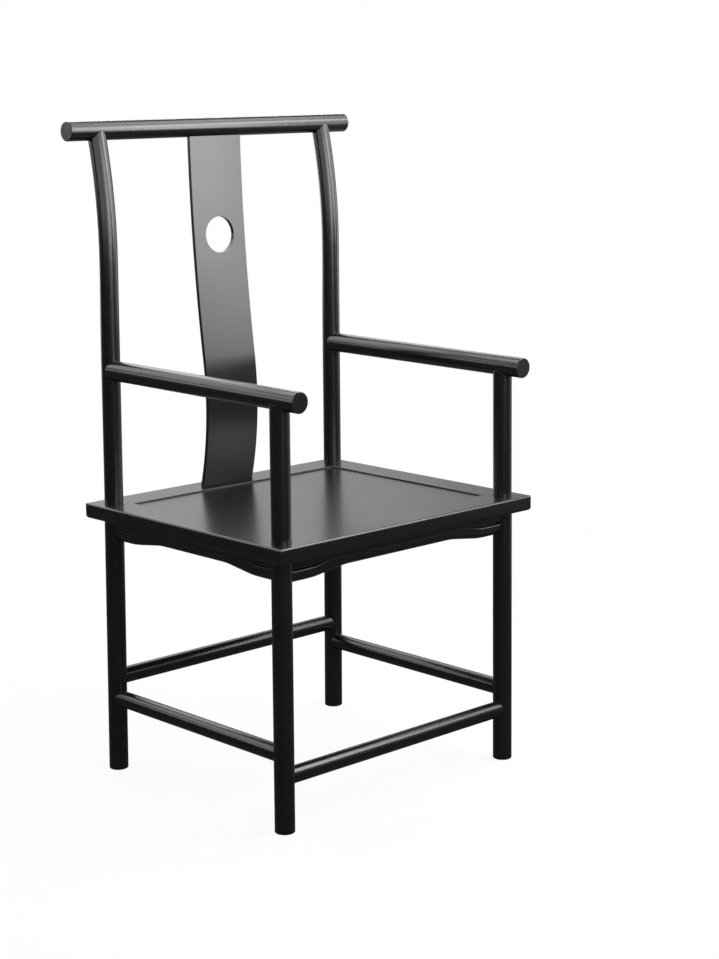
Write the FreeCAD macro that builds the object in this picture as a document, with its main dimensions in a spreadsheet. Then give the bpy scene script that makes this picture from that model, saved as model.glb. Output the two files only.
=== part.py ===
import FreeCAD, Part
import Sketcher
import math
import os
import re

# Official hat armchair: four posts that run from the floor through a mitred seat frame, a crest
# rail on the rear pair, arms on the front pair, and round rails coped and tenoned into the posts.
# Millimetres, +Z up, X to the sitter's left and right, the front faces -Y, the floor is Z = 0.

vector = FreeCAD.Vector
doc = FreeCAD.newDocument("official_hat_chair")
sizes = doc.addObject("Spreadsheet::Sheet", "sizes")

# Driving sizes: name, value and what it is. Shares are ratios and have no unit.
driving = [
    # whole chair
    ("overallHeight", 1100, "floor to the top of the crest rail"),
    ("seatHeight", 467, "floor to the top of the seat frame"),
    ("fit", 0.1, "gap on each side of a joint"),
    ("tipGap", 1, "glue space past the tip of a tenon"),
    # posts
    ("postSpacing", 500, "left to right between post axes at seat height"),
    ("postDepth", 425, "front to rear between post axes at seat height"),
    ("splayShare", 0.0054, "sideways lean of every post"),
    ("rakeShare", 0.0164, "backward lean of the rear legs, towards the floor"),
    ("postLeanShare", 0.009, "forward lean of the rear posts above the seat"),
    ("legRadius", 16.3, "leg below the shoulder that carries the seat frame"),
    ("postRadius", 15.8, "post above that shoulder"),
    ("footChamfer", 1.2, "bevel round the foot"),
    ("bendRise", 204, "crest rail's axis above the place where the rear posts' curve stands upright"),
    ("bendRadius", 850, "curve of the rear posts"),
    # crest rail
    ("crestLength", 610, "end to end"),
    ("crestSwell", 0.2, "crest rail thicker than a post, so that it caps the post's coped end"),
    ("endChamfer", 0.8, "bevel round the free rail ends"),
    ("crestTenonWidth", 18, "tenon of a rear post in the crest rail, along the rail"),
    ("crestTenonDepth", 9, "the same tenon, across the rail"),
    ("crestTenonRise", 6, "its tip above the axis of the crest rail"),
    # arms
    ("armSwell", 1, "arm rail thicker than a post, for the same reason"),
    ("armStopShare", 0.45, "rear end of the arm in front of the post's axis, of the post's radius"),
    ("armRearHeight", 692.4, "arm axis at the rear posts"),
    ("armDrop", 3, "how much lower the arm is at the front posts"),
    ("armOverhang", 46.7, "arm past the axis of the front post"),
    ("armTenonThickness", 9, "the arm's own tenon and the front post's, side to side"),
    ("armTenonHeight", 18, "the arm's own tenon, up and down"),
    ("armTenonDepth", 18, "the front post's tenon, front to rear"),
    ("armTenonRise", 6, "tip of the front post's tenon above the arm axis"),
    ("armTenonPast", 4, "tip of the arm's own tenon past the rear post's axis"),
    # stretchers
    ("stretcherRadius", 14, "stretchers near the floor"),
    ("frontStretcherHeight", 90.3, "lowest of the stepped stretchers"),
    ("sideStretcherHeight", 126.6, "middle pair"),
    ("rearStretcherHeight", 163, "highest"),
    ("stretcherTenonThickness", 9, "their tenons, side to side"),
    ("stretcherTenonHeight", 18, "their tenons, up and down"),
    ("stretcherTenonPast", 4, "tenon tip past the post's axis"),
    # humpback rails
    ("railRadius", 9, "humpback rails"),
    ("longRailHeight", 411, "axis of the front and rear rails at their ends"),
    ("sideRailHeight", 414, "axis of the side rails at their ends"),
    ("humpRise", 9.2, "how much the middle stands above the ends"),
    ("humpInset", 62, "from the post's axis to the start of the rise"),
    ("humpRun", 66, "length of the rise"),
    ("railTenonThickness", 5, "their tenons, side to side"),
    ("railTenonHeight", 10, "their tenons, up and down"),
    ("railTenonShort", 6.5, "tenon tip short of the post's axis, so two never meet"),
    # apron strips, which close the space between these rails and the seat frame
    ("stripHeight", 15, "strip below the frame"),
    ("stripThickness", 20, "strip, a little wider than the rail that it sits on"),
    ("stripTongueThickness", 6, "tongue along its top, let into the frame"),
    ("stripTongueHeight", 3, "the same tongue above the underside of the frame"),
    ("stripTongueShort", 30, "end of the tongue short of the post's axis"),
    # seat frame
    ("frameWidth", 564.8, "left to right"),
    ("frameDepth", 496.5, "front to rear"),
    ("frameThickness", 26, "every member"),
    ("longMemberWidth", 60.5, "front and rear members"),
    ("sideMemberWidth", 54.5, "left and right members"),
    ("frameTopRound", 2, "outer top edge"),
    ("frameBottomRound", 6, "outer bottom edge"),
    ("innerChamfer", 0.8, "bevel on the inner top edge and round the post holes"),
    ("tongueThickness", 6, "tongue in the mitres"),
    ("tongueDepth", 8, "how far it enters the long member"),
    ("tongueLift", 5, "above the underside of the frame"),
    ("tongueStartShare", 0.06, "start of the tongue along the mitre, from the inner corner"),
    ("tongueEndShare", 0.8, "end of the tongue along the mitre"),
    # floating panel
    ("panelRecess", 2.5, "panel below the top of the frame"),
    ("panelThickness", 12, "panel"),
    ("panelTongue", 6, "thickness of the tongue round the panel"),
    ("panelTongueDrop", 4, "face of the panel down to its tongue"),
    ("panelEntry", 8, "tongue in the frame"),
    ("panelGap", 0.4, "room for the panel to move, on every side"),
    # battens under the panel
    ("battenSpacing", 190, "between the two battens"),
    ("battenWidth", 26, "batten below the panel"),
    ("battenNeck", 14, "dovetail at its narrow foot"),
    ("battenFlare", 20, "dovetail at its wide top"),
    ("battenEntry", 4, "dovetail in the panel"),
    ("battenTenonWidth", 16, "end tenon"),
    ("battenTenonHeight", 6, "end tenon"),
    ("battenTenonLength", 14, "end tenon in the long member"),
    ("battenLift", 1, "batten above the underside of the frame"),
    # splat
    ("splatWidth", 112.6, "back splat"),
    ("splatThickness", 7, "back splat"),
    ("splatFootBackset", 7.9, "its middle behind the rear posts' axis, at its foot"),
    ("splatApexInset", 15.1, "its middle in front of that axis, where it stands furthest forward"),
    ("splatHeadInset", 2.7, "its middle in front of the crest rail's axis, at its head"),
    ("splatApexShare", 0.239, "height of that place, of the seat's distance from the crest rail"),
    ("splatTurnShare", 0.363, "likewise, where the lower curve gives way to the upper one"),
    ("splatFootDepth", 14, "splat in the rear member"),
    ("splatHeadShort", 4, "top of the splat below the axis of the crest rail"),
    ("splatBevel", 0.8, "bevel on the long edges of the splat"),
    ("holeRadius", 31, "round hole in the splat"),
    ("holeShare", 0.704, "its centre, of the seat's distance from the crest rail"),
    ("cutOver", 5, "overrun of cutting shapes"),
]

# Sizes that follow from the driving ones.
derived = [
    ("crestRadius", "postRadius + crestSwell"),
    ("armRadius", "postRadius + armSwell"),
    ("crestHeight", "overallHeight - crestRadius"),
    ("bendHeight", "crestHeight - bendRise"),
    ("crestBackset", "bendRadius - sqrt(bendRadius ^ 2 - bendRise ^ 2)"),
    ("splay", "atan(splayShare)"),
    ("postLean", "atan(postLeanShare)"),
    ("bendStart", "bendHeight - bendRadius * sin(postLean)"),
    ("bendInset", "postLeanShare * (bendStart - seatHeight) + bendRadius * (1 - cos(postLean))"),
    ("crestTurn", "asin(bendRise / bendRadius)"),
    ("crestReach", "postDepth / 2 - bendInset + crestBackset"),
    ("shiftY", "(postDepth / 2 + armOverhang - crestReach - crestRadius) / 2"),
    ("frontY", "shiftY - postDepth / 2"),
    ("rearY", "shiftY + postDepth / 2"),
    ("crestY", "shiftY + crestReach"),
    ("bendY", "rearY - bendInset"),
    ("frameBottom", "seatHeight - frameThickness"),
    ("stripBottom", "frameBottom - stripHeight"),
    ("innerWidth", "frameWidth - 2 * sideMemberWidth"),
    ("innerDepth", "frameDepth - 2 * longMemberWidth"),
    ("armRearY", "rearY - postLeanShare * (armRearHeight - seatHeight)"),
    ("armFrontHeight", "armRearHeight - armDrop"),
    ("panelTop", "seatHeight - panelRecess"),
    ("panelBottom", "panelTop - panelThickness"),
    ("panelTongueTop", "panelTop - panelTongueDrop"),
    ("panelTongueBottom", "panelTongueTop - panelTongue"),
    ("battenBottom", "frameBottom + battenLift"),
    ("splatFoot", "seatHeight - splatFootDepth"),
    ("splatHead", "crestHeight - splatHeadShort"),
    ("backHeight", "crestHeight - seatHeight"),
    ("splatApexHeight", "seatHeight + backHeight * splatApexShare"),
    ("splatTurnHeight", "seatHeight + backHeight * splatTurnShare"),
    ("holeHeight", "seatHeight + backHeight * holeShare"),
    ("splatApexY", "rearY - splatApexInset"),
    ("splatHeadY", "crestY - splatHeadInset"),
    ("splatLowReach", "splatApexInset + splatFootBackset"),
    ("splatLowRadius", "((splatApexHeight - splatFoot) ^ 2 + splatLowReach ^ 2) / (2 * splatLowReach)"),
    ("splatTurn", "asin((splatTurnHeight - splatApexHeight) / splatLowRadius)"),
    ("splatTurnY", "splatApexY + splatLowRadius * (1 - cos(splatTurn))"),
    ("splatHighRise", "splatHead - splatTurnHeight"),
    ("splatHighSlope", "atan((splatHeadY - splatTurnY) / splatHighRise)"),
    ("splatHighRadius", "splatHighRise / (2 * cos(splatHighSlope) * sin(splatTurn - splatHighSlope))"),
    ("splatHighLevel", "splatTurnHeight + splatHighRadius * sin(splatTurn)"),
]

aliases = []
for row, (alias, value, note) in enumerate(driving, start=1):
    sizes.set("A%d" % row, note)
    sizes.set("B%d" % row, str(value))
    sizes.setAlias("B%d" % row, alias)
    aliases.append(alias)
doc.recompute()
for row, (alias, formula) in enumerate(derived, start=len(driving) + 2):
    sizes.set("B%d" % row, "=" + formula)
    sizes.setAlias("B%d" % row, alias)
    aliases.append(alias)
    doc.recompute()


def bind(target, prop, formula):
    """Tie a property to a formula written in the names of the sheet."""

    def in_sheet(found):
        word = found.group()
        return "sizes." + word if word in aliases else word

    target.setExpression(prop, re.sub(r"\b[a-z][A-Za-z]*\b", in_sheet, formula))


# Sketches and rods

def plane_of(body, role):
    return [feature for feature in body.Origin.OriginFeatures if feature.Role == role][0]


def new_body(name):
    body = doc.addObject("PartDesign::Body", name)
    body.Label = name
    return body


def new_sketch(body, name, role, x="0", y="0", z="0", tilt="0"):
    """A sketch on an origin plane of its body, moved to a point given in the chair's own frame."""
    sketch = body.newObject("Sketcher::SketchObject", name)
    sketch.AttachmentSupport = [(plane_of(body, role), "")]
    sketch.MapMode = "FlatFace"
    place = {"XY_Plane": (x, y, z), "YZ_Plane": (y, z, x), "XZ_Plane": (x, z, "-(%s)" % y)}[role]
    bind(sketch, "AttachmentOffset", "placement(vector(%s; %s; %s); rotationx(%s))" % (*place, tilt))
    return sketch


def size_constraint(sketch, name, formula, *constraint):
    """A dimension of a sketch that follows the sheet."""
    index = sketch.addConstraint(Sketcher.Constraint(*constraint))
    sketch.renameConstraint(index, name)
    bind(sketch, "Constraints." + name, formula)


def add_ring(sketch, corners):
    """A closed outline of straight lines."""
    count = len(corners)
    for number in range(count):
        sketch.addGeometry(Part.LineSegment(corners[number], corners[(number + 1) % count]), False)
    for number in range(count):
        sketch.addConstraint(Sketcher.Constraint("Coincident", number, 2, (number + 1) % count, 1))


def circle_sketch(body, name, role, radius, x, y, z, tilt="0"):
    sketch = new_sketch(body, name, role, x, y, z, tilt)
    sketch.addGeometry(Part.Circle(vector(0, 0, 0), vector(0, 0, 1), sizes.postRadius), False)
    sketch.addConstraint(Sketcher.Constraint("Coincident", 0, 3, -1, 1))
    size_constraint(sketch, "radius", radius, "Radius", 0, sizes.postRadius)
    return sketch


def add_pad(body, sketch, length, both_ways=False):
    pad = body.newObject("PartDesign::Pad", sketch.Name + "_pad")
    pad.Profile = sketch
    pad.Midplane = both_ways
    bind(pad, "Length", length)


def bevel_ends(body, name, size, test):
    """A bevel on the round end edges that pass the test."""
    doc.recompute()
    base = body.Tip
    edges = ["Edge%d" % number for number, edge in enumerate(base.Shape.Edges, start=1)
             if edge.isClosed() and test(edge.BoundBox)]
    bevel = body.newObject("PartDesign::Chamfer", name)
    bevel.Base = (base, edges)
    bind(bevel, "Size", size)


def rod_at(name, radius, length, x, y, z, turn):
    """A round bar whose end stands at x, y, z, turned from upright."""
    bar = doc.addObject("Part::Cylinder", name)
    bind(bar, "Radius", radius)
    bind(bar, "Height", length)
    bind(bar, "Placement", "placement(vector(%s; %s; %s); %s)" % (x, y, z, turn))
    return bar


def cut(name, base, tools):
    result = base
    for number, tool in enumerate(tools, start=1):
        step = doc.addObject("Part::Cut", "%s_cut%d" % (name, number))
        step.Base = result
        step.Tool = tool
        result = step
    return result


def fuse(name, shapes):
    joined = doc.addObject("Part::MultiFuse", name + "_joined")
    joined.Shapes = shapes
    return joined


nodes = {}


def keep(name, feature):
    """The finished piece: one node, one file."""
    feature.Label = name
    nodes[name] = feature


# Posts

def post_x(side, height):
    """X of a post's axis: the posts lean towards each other from the floor up."""
    return "%d * (postSpacing / 2 + splayShare * (seatHeight - %s))" % (side, height)


def leg_y(end, height):
    """Y of a leg's axis below the seat: the front legs stand upright, the rear ones rake back."""
    return "frontY" if end == "front" else "rearY + rakeShare * (seatHeight - %s)" % height


def post_frame(side, end):
    """The upright plane of a post, leaned sideways, with its origin on the axis at seat height."""
    return ("placement(vector(%d * postSpacing / 2; %sY; seatHeight); rotationy(%d * splay))"
            % (side, end, -side))


def place_on_post(item, side, end, share, low):
    """Stand an item on a post's axis, at a distance along it from seat height."""
    bind(item, "Placement", "%s * placement(vector(0; 0; 0); rotationx(atan(%s))) * "
         "placement(vector(0; 0; %s); rotationx(0))" % (post_frame(side, end), share, low))


def post_bar(name, radius, side, end, share, low, high):
    """A round bar along a post's axis, between two distances from seat height."""
    bar = doc.addObject("Part::Cylinder", name)
    bind(bar, "Radius", radius)
    bind(bar, "Height", "(%s) - (%s)" % (high, low))
    place_on_post(bar, side, end, share, low)
    return bar


def leg_bar(name, side, end, growth):
    share = "0" if end == "front" else "rakeShare"
    return post_bar(name, "legRadius + " + growth, side, end, share, "-seatHeight - cutOver",
                    "cutOver - frameThickness")


def upper_bar(name, side, end, growth):
    share = "0" if end == "front" else "postLeanShare"
    top = "armFrontHeight - seatHeight" if end == "front" else "(bendStart - seatHeight) / cos(postLean)"
    return post_bar(name, "postRadius + " + growth, side, end, share, "-frameThickness - cutOver", top)


def post_solid(name, side, end):
    """A post in one length: the leg, its shoulder, the post and, at the rear, the bend."""
    leg = leg_bar(name + "_leg", side, end, "0")
    trim = doc.addObject("Part::Cone", name + "_foot")
    bind(trim, "Radius1", "legRadius - footChamfer")
    bind(trim, "Radius2", "legRadius - footChamfer + frameBottom")
    bind(trim, "Height", "frameBottom")
    bind(trim, "Placement.Base.x", post_x(side, "0"))
    bind(trim, "Placement.Base.y", leg_y(end, "0"))
    standing = doc.addObject("Part::Common", name + "_standing")
    standing.Base = leg
    standing.Tool = trim
    stretches = [standing, upper_bar(name + "_upper", side, end, "0")]
    if end == "rear":
        bend = doc.addObject("Part::Torus", name + "_bend")
        bind(bend, "Radius1", "bendRadius")
        bind(bend, "Radius2", "postRadius")
        bind(bend, "Angle3", "crestTurn + postLean")
        bind(bend, "Placement", post_frame(side, end) + " * placement(vector(0; bendRadius - bendInset; "
             "bendHeight - seatHeight); rotation(vector(1; -1; -1); 120) * rotationz(-postLean))")
        stretches.append(bend)
    return fuse(name, stretches)


# Rails along X and Y

def along_x(name, radius, half, y, z):
    """A round bar across the chair, centred on X = 0."""
    return rod_at(name, radius, "2 * (%s)" % half, "-(%s)" % half, y, z, "rotationy(90)")


def along_y(name, radius, x, front, rear, z):
    """A round bar from front to rear."""
    return rod_at(name, radius, "(%s) - (%s)" % (rear, front), x, front, z, "rotationx(-90)")


def arm_solid(name, side, growth="0"):
    """An arm from the rear post to its free front end, or the room it needs."""
    body = new_body(name)
    slope = "armDrop / (armRearY - frontY)"
    start = "armRearY - armStopShare * postRadius"
    section = circle_sketch(body, name + "_section", "XZ_Plane", "armRadius + " + growth,
                            post_x(side, "armRearHeight"), start, "armRearHeight", "atan(%s)" % slope)
    add_pad(body, section, "(%s - frontY + armOverhang) * sqrt(1 + (%s) ^ 2)" % (start, slope))
    if growth == "0":
        bevel_ends(body, name + "_bevel", "endChamfer", lambda box: box.YMax < sizes.frontY)
    return body


def humpback(name, role, level, half, fixed, growth="0"):
    """A rail on one of the two upright planes, a half swept up its rise and mirrored, or its room."""
    body = new_body(name)
    place = {"XZ_Plane": ("0", fixed, "0"), "YZ_Plane": (fixed, "shiftY", "0")}[role]
    path = new_sketch(body, name + "_path", role, *place)
    far = sizes.postSpacing / 2 if role == "XZ_Plane" else sizes.postDepth / 2
    low = sizes.longRailHeight
    outer = far - sizes.humpInset
    inner = outer - sizes.humpRun
    top = low + sizes.humpRise
    rise_foot = "(%s) - humpInset" % half
    corners = (("crown", inner, top, rise_foot + " - humpRun", "humpRise"),
               ("foot", outer, low, rise_foot, "0"), ("end", far, low, half, "0"))
    last = vector(0, top, 0)
    for number, (point, reach, height, reach_formula, rise_formula) in enumerate(corners):
        path.addGeometry(Part.LineSegment(last, vector(reach, height, 0)), False)
        if number:
            path.addConstraint(Sketcher.Constraint("Coincident", number - 1, 2, number, 1))
        size_constraint(path, point + "Reach", reach_formula, "DistanceX", -1, 1, number, 2, reach)
        size_constraint(path, point + "Height", "%s + %s" % (level, rise_formula), "DistanceY", -1, 1,
                        number, 2, height)
        last = vector(reach, height, 0)
    path.addConstraint(Sketcher.Constraint("PointOnObject", 0, 1, -2))
    path.addConstraint(Sketcher.Constraint("Horizontal", 0))
    across = "YZ_Plane" if role == "XZ_Plane" else "XZ_Plane"
    start = {"XZ_Plane": ("0", fixed), "YZ_Plane": (fixed, "shiftY")}[role]
    section = circle_sketch(body, name + "_section", across, "railRadius + " + growth, start[0], start[1],
                            "%s + humpRise" % level)
    sweep = body.newObject("PartDesign::AdditivePipe", name + "_sweep")
    sweep.Profile = section
    sweep.Spine = path
    sweep.Transition = "Right corner"
    doc.recompute()
    middle = body.newObject("PartDesign::Mirrored", name + "_whole")
    middle.Originals = [sweep]
    middle.MirrorPlane = (section, [""])
    body.Tip = middle
    return body


# Seat frame: every member is drawn as if it were the rear one and turned to its side

def long_edge(body, out, height):
    """The edge along a member at a distance out from the chair's middle and at a height."""
    for number, edge in enumerate(body.Tip.Shape.Edges, start=1):
        box = edge.BoundBox
        off = (box.YMin - out, box.YMax - out, box.ZMin - height, box.ZMax - height)
        if max(abs(value) for value in off) < sizes.fit:
            return "Edge%d" % number


def ease(body, kind, name, out, height, size):
    """A bevel or a round on one long edge of a member."""
    doc.recompute()
    edges = [long_edge(body, out, height)]
    base = body.Tip
    feature = body.newObject("PartDesign::" + kind, name)
    feature.Base = (base, edges)
    bind(feature, "Size" if kind == "Chamfer" else "Radius", size)


def member(name, turn, inner_length, outer_length, near, far):
    """A mitred member: a trapezoid whose slanted ends meet its neighbours, with eased edges."""
    body = new_body(name)
    body.Placement = FreeCAD.Placement(vector(0, 0, 0), FreeCAD.Rotation(vector(0, 0, 1), turn))
    bind(body, "Placement.Base.y", "shiftY")
    sketch = new_sketch(body, name + "_outline", "XY_Plane", "0", "0", "frameBottom")
    short, wide = getattr(sizes, inner_length) / 2, getattr(sizes, outer_length) / 2
    y_near, y_far = getattr(sizes, near) / 2, getattr(sizes, far) / 2
    add_ring(sketch, [vector(-short, y_near, 0), vector(short, y_near, 0), vector(wide, y_far, 0),
                      vector(-wide, y_far, 0)])
    sketch.addConstraint(Sketcher.Constraint("Symmetric", 0, 1, 0, 2, -2))
    sketch.addConstraint(Sketcher.Constraint("Symmetric", 2, 2, 2, 1, -2))
    size_constraint(sketch, "innerEdge", inner_length, "DistanceX", 0, 1, 0, 2, 2 * short)
    size_constraint(sketch, "outerEdge", outer_length, "DistanceX", 2, 2, 2, 1, 2 * wide)
    size_constraint(sketch, "near", near + " / 2", "DistanceY", -1, 1, 0, 2, y_near)
    size_constraint(sketch, "far", far + " / 2", "DistanceY", -1, 1, 2, 1, y_far)
    add_pad(body, sketch, "frameThickness")
    ease(body, "Fillet", name + "_top_edge", y_far, sizes.seatHeight, "frameTopRound")
    ease(body, "Fillet", name + "_bottom_edge", y_far, sizes.frameBottom, "frameBottomRound")
    ease(body, "Chamfer", name + "_inner_edge", y_near, sizes.seatHeight, "innerChamfer")
    return body


def tongue(name, turn, growth, spare):
    """The tongue of the rear right mitre, or the room it needs, turned to its corner."""
    body = new_body(name)
    body.Placement = FreeCAD.Placement(vector(0, 0, 0), FreeCAD.Rotation(vector(0, 0, 1), turn))
    bind(body, "Placement.Base.y", "shiftY")
    sketch = new_sketch(body, name + "_outline", "XY_Plane", "0", "0", "frameBottom + tongueLift - " + growth)
    start, end = sizes.tongueStartShare, sizes.tongueEndShare
    add_ring(sketch, [vector(sizes.innerWidth / 2 + sizes.sideMemberWidth * share,
                             sizes.innerDepth / 2 + sizes.longMemberWidth * share + out, 0)
                      for share, out in ((start, -sizes.tongueDepth), (end, -sizes.tongueDepth),
                                         (end, sizes.tongueDepth), (start, sizes.tongueDepth))])
    inner, outer = "-tongueDepth", "tongueDepth + " + spare
    places = (("tongueStartShare", "-" + growth, inner), ("tongueEndShare", growth, inner),
              ("tongueEndShare", growth, outer), ("tongueStartShare", "-" + growth, outer))
    for number, (share, wider, deeper) in enumerate(places):
        point = sketch.Geometry[number].StartPoint
        x = "innerWidth / 2 + %s * sideMemberWidth + %s" % (share, wider)
        y = "innerDepth / 2 + %s * longMemberWidth + %s" % (share, deeper)
        size_constraint(sketch, "x%d" % number, x, "DistanceX", -1, 1, number, 1, point.x)
        size_constraint(sketch, "y%d" % number, y, "DistanceY", -1, 1, number, 1, point.y)
    add_pad(body, sketch, "tongueThickness + 2 * " + growth)
    return body


def mirrored(name, source):
    """The same shape on the other side of the chair."""
    twin = doc.addObject("Part::Mirroring", name)
    twin.Source = source
    twin.Normal = vector(1, 0, 0)
    return twin


def block(name, length, width, height, x, y, z, tilt="0", sink="0"):
    """A box centred on x and y that stands on z, or sinks below it, and tilts about X there."""
    box = doc.addObject("Part::Box", name)
    bind(box, "Length", length)
    bind(box, "Width", width)
    bind(box, "Height", height)
    bind(box, "Placement", "placement(vector(%s; %s; %s); rotationx(%s)) * placement(vector(-(%s) / 2; "
         "-(%s) / 2; -(%s)); rotationx(0))" % (x, y, z, tilt, length, width, sink))
    return box


def tenon(name, along, length, width, height, x, y, z, tilt="0"):
    """A flat tenon along one of its three sizes, and its mortise: wider by the fit, longer by the tip gap."""
    fill = block(name, length, width, height, x, y, z, tilt)
    spare = ["tipGap" if along == axis else "fit" for axis in "xyz"]
    grown = ["%s + 2 * %s" % pair for pair in zip((length, width, height), spare)]
    room = block(name + "_room", *grown, x, y, z, tilt, spare[2])
    return fill, room


def apron_strip(name, along, x, y, tools):
    """A strip under a member of the frame with a tongue along its top; it returns the tongue's groove."""
    full = "postSpacing" if along == "x" else "postDepth"
    short = full + " - 2 * stripTongueShort"
    turned = 1 if along == "x" else -1
    bar = block(name + "_bar", *(full, "stripThickness")[::turned], "stripHeight", x, y, "stripBottom")
    ridge, groove = tenon(name + "_tongue", "z", *(short, "stripTongueThickness")[::turned],
                          "2 * stripTongueHeight", x, y, "frameBottom - stripTongueHeight")
    keep(name, cut(name, fuse(name, [bar, ridge]), tools))
    return groove


def batten_solid(name, side, growth):
    """A batten and the dovetail along its back, or the room it needs in the panel."""
    body = new_body(name)
    sketch = new_sketch(body, name + "_profile", "XZ_Plane", "%d * battenSpacing / 2" % side, "shiftY",
                        "panelBottom")
    low = sizes.battenBottom - sizes.panelBottom
    widths = ("battenWidth", "battenWidth", "battenNeck", "battenFlare")
    halves = [vector(getattr(sizes, width) / 2, z, 0)
              for width, z in zip(widths, (low, 0, 0, sizes.battenEntry))]
    add_ring(sketch, halves + [vector(-point.x, point.y, 0) for point in reversed(halves)])
    for right, left in ((0, 7), (1, 6), (2, 5), (3, 4)):
        sketch.addConstraint(Sketcher.Constraint("Symmetric", right, 1, left, 1, -2))
    sketch.addConstraint(Sketcher.Constraint("Horizontal", 1))
    sketch.addConstraint(Sketcher.Constraint("PointOnObject", 1, 1, -1))
    for number, width in enumerate(widths):
        size_constraint(sketch, "width%d" % number, width + " + 2 * " + growth, "DistanceX",
                        7 - number, 1, number, 1, 2 * halves[number].x)
    size_constraint(sketch, "drop", "panelBottom - battenBottom", "DistanceY", 0, 1, 1, 1, -low)
    size_constraint(sketch, "entry", "battenEntry + " + growth, "DistanceY", 2, 1, 3, 1, sizes.battenEntry)
    add_pad(body, sketch, "innerDepth - 2 * fit", True)
    return body


# Splat: its bevelled section is turned down about one axis and up about another

def splat_solid(name, growth, spare):
    """The splat, or the room it needs in the crest rail and in the rear member."""
    body = new_body(name)
    section = new_sketch(body, name + "_section", "XY_Plane", "0", "splatTurnY", "splatTurnHeight",
                         "-splatTurn")
    wide, deep, bevel = sizes.splatWidth / 2, sizes.splatThickness / 2, sizes.splatBevel
    quarter = [vector(wide, deep - bevel, 0), vector(wide - bevel, deep, 0)]
    half = quarter + [vector(-point.x, point.y, 0) for point in reversed(quarter)]
    add_ring(section, half + [vector(-point.x, -point.y, 0) for point in half])
    for first, second in ((0, 3), (1, 2), (4, 7), (5, 6)):
        section.addConstraint(Sketcher.Constraint("Symmetric", first, 1, second, 1, -2))
    for first, second in ((0, 7), (1, 6)):
        section.addConstraint(Sketcher.Constraint("Symmetric", first, 1, second, 1, -1))
    size_constraint(section, "wide", "splatWidth / 2 + " + growth, "DistanceX", -1, 1, 0, 1, wide)
    size_constraint(section, "deep", "splatThickness / 2 + " + growth, "DistanceY", -1, 1, 1, 1, deep)
    size_constraint(section, "bevelAcross", "splatBevel", "DistanceX", 1, 1, 0, 1, bevel)
    size_constraint(section, "bevelDeep", "splatBevel", "DistanceY", 0, 1, 1, 1, bevel)
    low_turn = "splatTurn + asin((splatApexHeight - splatFoot + %s) / splatLowRadius)" % spare
    high_turn = "splatTurn + asin((splatHead - splatHighLevel + %s) / splatHighRadius)" % spare
    # the lower curve has its axis behind the splat, the upper one in front
    for number, (part, radius, turn, way) in enumerate((("low", "splatLowRadius", low_turn, 1),
                                                        ("high", "splatHighRadius", high_turn, -1))):
        far = getattr(sizes, radius)
        line = Part.LineSegment(vector(0, way * far, 0), vector(wide, way * far, 0))
        axis = section.addGeometry(line, True)
        section.addConstraint(Sketcher.Constraint("Horizontal", axis))
        section.addConstraint(Sketcher.Constraint("PointOnObject", axis, 1, -2))
        middle, on_axis = (-1, 1), (axis, 1)
        pair = middle + on_axis if way > 0 else on_axis + middle
        size_constraint(section, part + "Radius", radius, "DistanceY", *pair, far)
        size_constraint(section, part + "Axis", "splatWidth / 2", "DistanceX", axis, 1, axis, 2, wide)
        revolved = body.newObject("PartDesign::Revolution", "%s_%s" % (name, part))
        revolved.Profile = section
        revolved.ReferenceAxis = (section, ["Axis%d" % number])
        bind(revolved, "Angle", turn)
    return body


# Posts and the rooms that they need in what meets them

sides = (("left", -1), ("right", 1))
ends = ("front", "rear")
post_blank, leg_room, post_room, post_cuts = {}, {}, {}, {}
for side, sign in sides:
    for end in ends:
        key = side, end
        post_blank[key] = post_solid("%s_%s_post" % key, sign, end)
        leg_room[key] = leg_bar("%s_%s_leg_room" % key, sign, end, "fit")
        post_room[key] = upper_bar("%s_%s_post_room" % key, sign, end, "fit")
        post_cuts[key] = []

# Stretchers: coped round the legs, with a flat tenon at each end
tenon_foot = "%s - stretcherTenonHeight / 2"
for end, height in (("front", "frontStretcherHeight"), ("rear", "rearStretcherHeight")):
    name = end + "_stretcher"
    half = post_x(1, height)
    y = leg_y(end, height)
    rod = along_x(name + "_rod", "stretcherRadius", half, y, height)
    core, room = tenon(name + "_tenons", "x", "2 * (%s + stretcherTenonPast)" % half,
                       "stretcherTenonThickness", "stretcherTenonHeight", "0", y, tenon_foot % height)
    coped = cut(name, rod, [leg_room[side, end] for side, sign in sides])
    keep(name, fuse(name, [coped, core]))
    for side, sign in sides:
        post_cuts[side, end].append(room)
for side, sign in sides:
    name = side + "_stretcher"
    height = "sideStretcherHeight"
    x, front, rear = post_x(sign, height), leg_y("front", height), leg_y("rear", height)
    rod = along_y(name + "_rod", "stretcherRadius", x, front, rear, height)
    core, room = tenon(name + "_tenons", "y", "stretcherTenonThickness",
                       "(%s) - (%s) + 2 * stretcherTenonPast" % (rear, front), "stretcherTenonHeight",
                       x, "(%s + %s) / 2" % (front, rear), tenon_foot % height)
    coped = cut(name, rod, [leg_room[side, end] for end in ends])
    keep(name, fuse(name, [coped, core]))
    for end in ends:
        post_cuts[side, end].append(room)

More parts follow.
